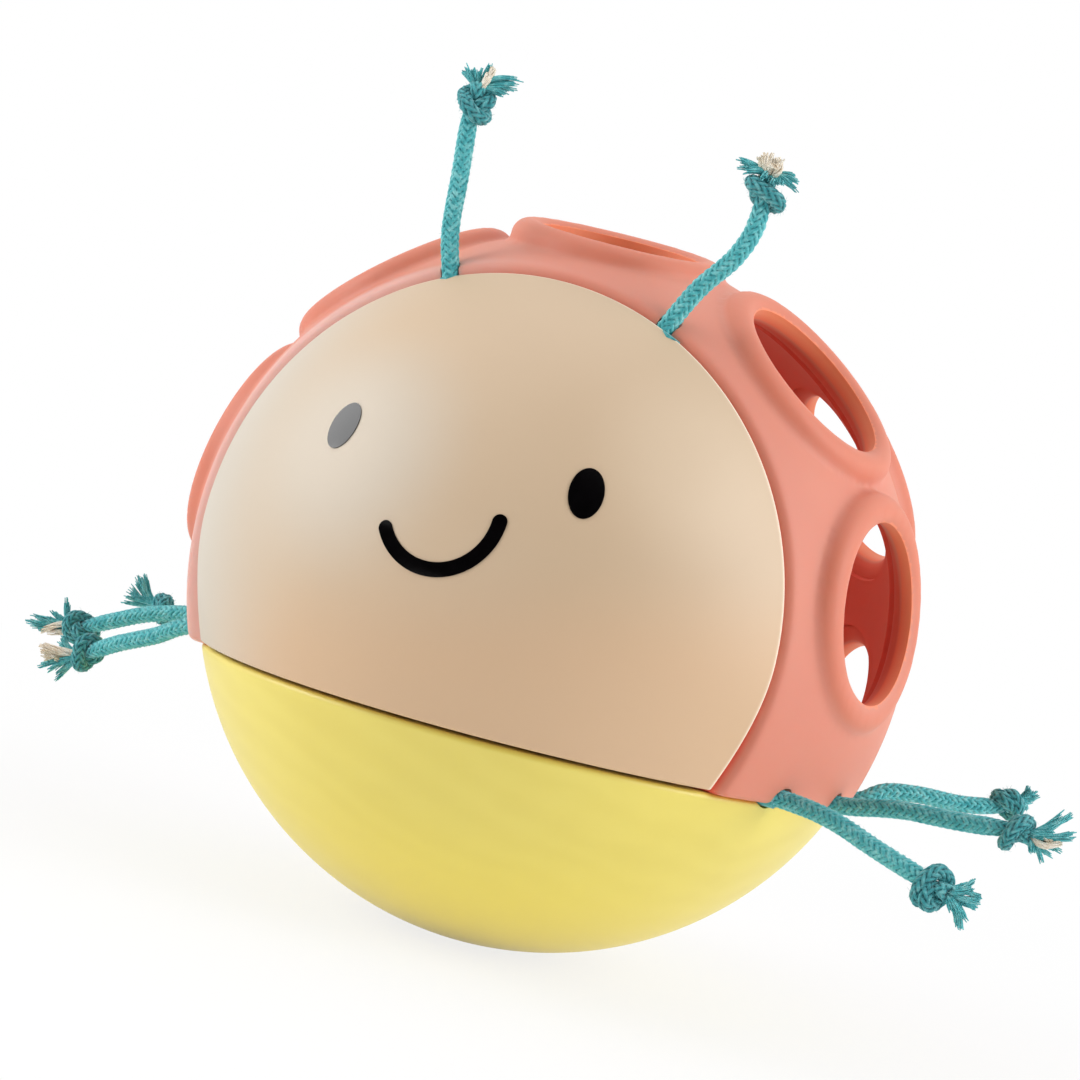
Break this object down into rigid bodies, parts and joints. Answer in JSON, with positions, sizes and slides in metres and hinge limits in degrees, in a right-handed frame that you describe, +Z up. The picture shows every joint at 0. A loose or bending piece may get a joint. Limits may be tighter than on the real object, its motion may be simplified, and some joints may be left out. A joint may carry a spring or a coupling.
{
  "type": "ladybird rattle ball",
  "caption": "Round ladybird baby rattle: wooden base, sealed face dome with loose beads, soft coral grip shell with lipped finger holes, and knotted cord legs and antennae.",
  "frame": {"origin": "middle of the flat foot under the wooden base", "axes": "+Z up, the face looks along -Y, +X to the right of a viewer who faces the face"},
  "size_m": [0.1643, 0.1053, 0.1203],
  "materials": {
    "wood_yellow": "satin paint",
    "face_plastic": "satin",
    "inner_plastic": "matte",
    "soft_coral": "matte",
    "print_black": "satin",
    "cord_teal": "braided",
    "bead_wood": "plain",
    "screw_steel": "plain"
  },
  "bodies": {
    "ball": {"base": "wood_yellow", "chassis": "inner_plastic", "base_screws": "screw_steel", "face_dome": "face_plastic", "rattle_back": "inner_plastic", "capsule_screws": "screw_steel", "eye_left": "print_black", "eye_right": "print_black", "smile": "print_black", "grip_shell": "soft_coral", "leg_run_front": "cord_teal", "leg_run_middle": "cord_teal", "leg_run_rear": "cord_teal", "antenna_run": "cord_teal"},
    "bead_1": {"bead_1": "bead_wood"},
    "bead_2": {"bead_2": "bead_wood"},
    "bead_3": {"bead_3": "bead_wood"},
    "bead_4": {"bead_4": "bead_wood"},
    "bead_5": {"bead_5": "bead_wood"},
    "leg_right_front": {"leg_right_front": "cord_teal"},
    "leg_right_middle": {"leg_right_middle": "cord_teal"},
    "leg_right_rear": {"leg_right_rear": "cord_teal"},
    "leg_left_front": {"leg_left_front": "cord_teal"},
    "leg_left_middle": {"leg_left_middle": "cord_teal"},
    "leg_left_rear": {"leg_left_rear": "cord_teal"},
    "antenna_left": {"antenna_left": "cord_teal"},
    "antenna_right": {"antenna_right": "cord_teal"}
  },
  "joints": [
    {"name": "bead_1_bounce", "type": "slide", "parent": "ball", "child": "bead_1", "axis": [0, 0, 1], "range_m": [0, 0.0237]},
    {"name": "bead_2_bounce", "type": "slide", "parent": "ball", "child": "bead_2", "axis": [0, 0, 1], "range_m": [0, 0.0335]},
    {"name": "bead_3_bounce", "type": "slide", "parent": "ball", "child": "bead_3", "axis": [0, 0, 1], "range_m": [0, 0.0359]},
    {"name": "bead_4_bounce", "type": "slide", "parent": "ball", "child": "bead_4", "axis": [0, 0, 1], "range_m": [0, 0.0335]},
    {"name": "bead_5_bounce", "type": "slide", "parent": "ball", "child": "bead_5", "axis": [0, 0, 1], "range_m": [0, 0.0237]},
    {"name": "leg_right_front_flex", "type": "hinge", "parent": "ball", "child": "leg_right_front", "pos_m": [0.04592, -0.01785, 0.03296], "axis": [-0.368, -0.9298, 0], "range_deg": [-35, 25], "stiffness_Nm_per_rad": 0.002},
    {"name": "leg_right_middle_flex", "type": "hinge", "parent": "ball", "child": "leg_right_middle", "pos_m": [0.04922, -0.00297, 0.03296], "axis": [-0.2516, -0.9678, 0], "range_deg": [-35, 25], "stiffness_Nm_per_rad": 0.002},
    {"name": "leg_right_rear_flex", "type": "hinge", "parent": "ball", "child": "leg_right_rear", "pos_m": [0.04776, 0.0122, 0.03296], "axis": [0.5792, -0.8152, 0], "range_deg": [-35, 25], "stiffness_Nm_per_rad": 0.002},
    {"name": "leg_left_front_flex", "type": "hinge", "parent": "ball", "child": "leg_left_front", "pos_m": [-0.04592, -0.01785, 0.03296], "axis": [0.3231, 0.9463, 0], "range_deg": [-35, 25], "stiffness_Nm_per_rad": 0.002},
    {"name": "leg_left_middle_flex", "type": "hinge", "parent": "ball", "child": "leg_left_middle", "pos_m": [-0.04922, -0.00297, 0.03296], "axis": [0.1738, 0.9848, 0], "range_deg": [-35, 25], "stiffness_Nm_per_rad": 0.002},
    {"name": "leg_left_rear_flex", "type": "hinge", "parent": "ball", "child": "leg_left_rear", "pos_m": [-0.04776, 0.0122, 0.03296], "axis": [0.3896, 0.921, 0], "range_deg": [-35, 25], "stiffness_Nm_per_rad": 0.002},
    {"name": "antenna_left_flex", "type": "hinge", "parent": "ball", "child": "antenna_left", "pos_m": [-0.01585, -0.0272, 0.09063], "axis": [0, 1, 0], "range_deg": [-35, 35], "stiffness_Nm_per_rad": 0.002},
    {"name": "antenna_right_flex", "type": "hinge", "parent": "ball", "child": "antenna_right", "pos_m": [0.01834, -0.0272, 0.08959], "axis": [0, 1, 0], "range_deg": [-35, 35], "stiffness_Nm_per_rad": 0.002}
  ]
}
